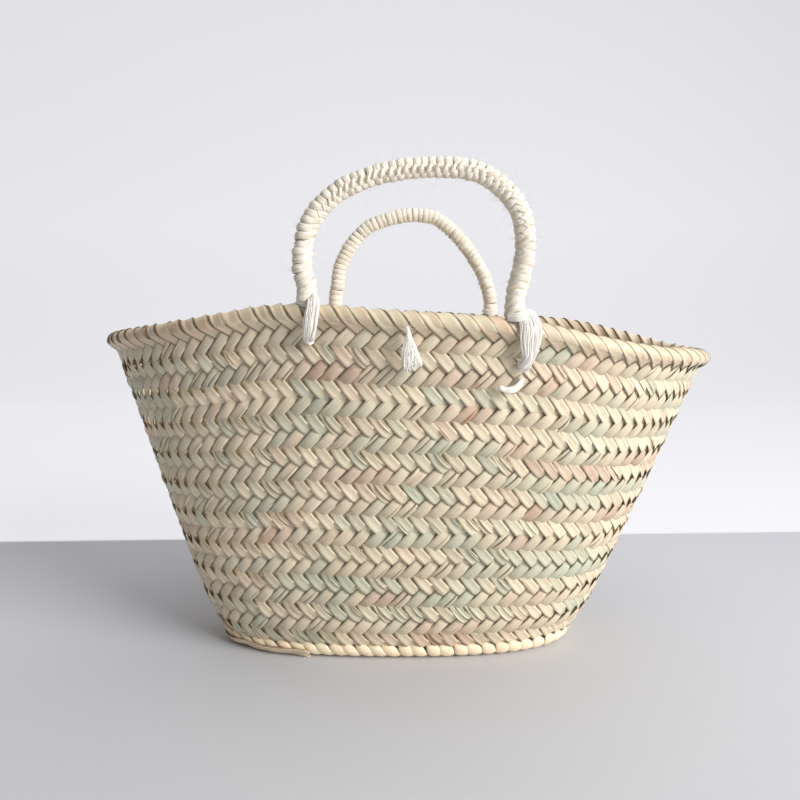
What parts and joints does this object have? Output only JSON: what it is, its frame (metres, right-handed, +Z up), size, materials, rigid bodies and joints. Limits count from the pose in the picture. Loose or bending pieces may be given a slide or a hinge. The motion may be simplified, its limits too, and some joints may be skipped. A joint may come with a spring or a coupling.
{
  "type": "woven market basket",
  "caption": "Oval open-topped basket of plaited palm leaf, flaring from a small flat base to a wide bound rim, with short wrapped rope handles to carry it.",
  "frame": {"origin": "middle of the basket's bounding box in plan, on the surface it stands on", "axes": "+Z up, +X along the basket's length, the front towards -Y"},
  "size_m": [0.4397, 0.2433, 0.3286],
  "materials": {
    "palm_plait": "dried palm leaf, satin on the leaf's upper face, straw to pale sage green",
    "rim_leaf": "dried palm leaf, satin, peach tan",
    "palm_cord": "twisted palm leaf, matte",
    "sisal_wrap": "sisal yarn, matte, hairy, cream",
    "sisal_yarn": "sisal yarn, matte, hairy, near white"
  },
  "bodies": {
    "basket": {"wall_plait_turn_01": "palm_plait", "wall_plait_turn_02": "palm_plait", "wall_plait_turn_03": "palm_plait", "wall_plait_turn_04": "palm_plait", "wall_plait_turn_05": "palm_plait", "wall_plait_turn_06": "palm_plait", "wall_plait_turn_07": "palm_plait", "wall_plait_turn_08": "palm_plait", "wall_plait_turn_09": "palm_plait", "wall_plait_turn_10": "palm_plait", "wall_seam_cord_01": "palm_cord", "wall_seam_cord_02": "palm_cord", "wall_seam_cord_03": "palm_cord", "wall_seam_cord_04": "palm_cord", "wall_seam_cord_05": "palm_cord", "wall_seam_cord_06": "palm_cord", "wall_seam_cord_07": "palm_cord", "wall_seam_cord_08": "palm_cord", "wall_seam_cord_09": "palm_cord", "wall_seam_cord_10": "palm_cord", "base_edge_band": "palm_plait", "base_plait_turn": "palm_plait", "base_plait_centre": "palm_plait", "base_band_loose_end": "palm_plait", "base_seam_cord_outer": "palm_cord", "base_seam_cord_inner": "palm_cord", "rim_binding": "rim_leaf", "rim_core_cord": "palm_cord", "front_left_tie": "sisal_yarn", "front_right_tie": "sisal_yarn", "rear_left_tie": "sisal_yarn", "rear_right_tie": "sisal_yarn", "front_right_tie_tail": "sisal_yarn", "front_centre_tuft": "sisal_yarn"},
    "front_handle": {"front_handle_rope": "palm_cord", "front_handle_wrap": "sisal_wrap"},
    "rear_handle": {"rear_handle_rope": "palm_cord", "rear_handle_wrap": "sisal_wrap"}
  },
  "joints": [
    {"name": "front_handle_pivot", "type": "hinge", "parent": "basket", "child": "front_handle", "pos_m": [-0.06148, -0.11012, 0.24804], "axis": [0.9972, 0.0013, -0.0744], "range_deg": [-70, 75]},
    {"name": "rear_handle_pivot", "type": "hinge", "parent": "basket", "child": "rear_handle", "pos_m": [-0.0645, 0.10962, 0.24322], "axis": [-0.9997, 0.0132, 0.0226], "range_deg": [-70, 75]}
  ]
}
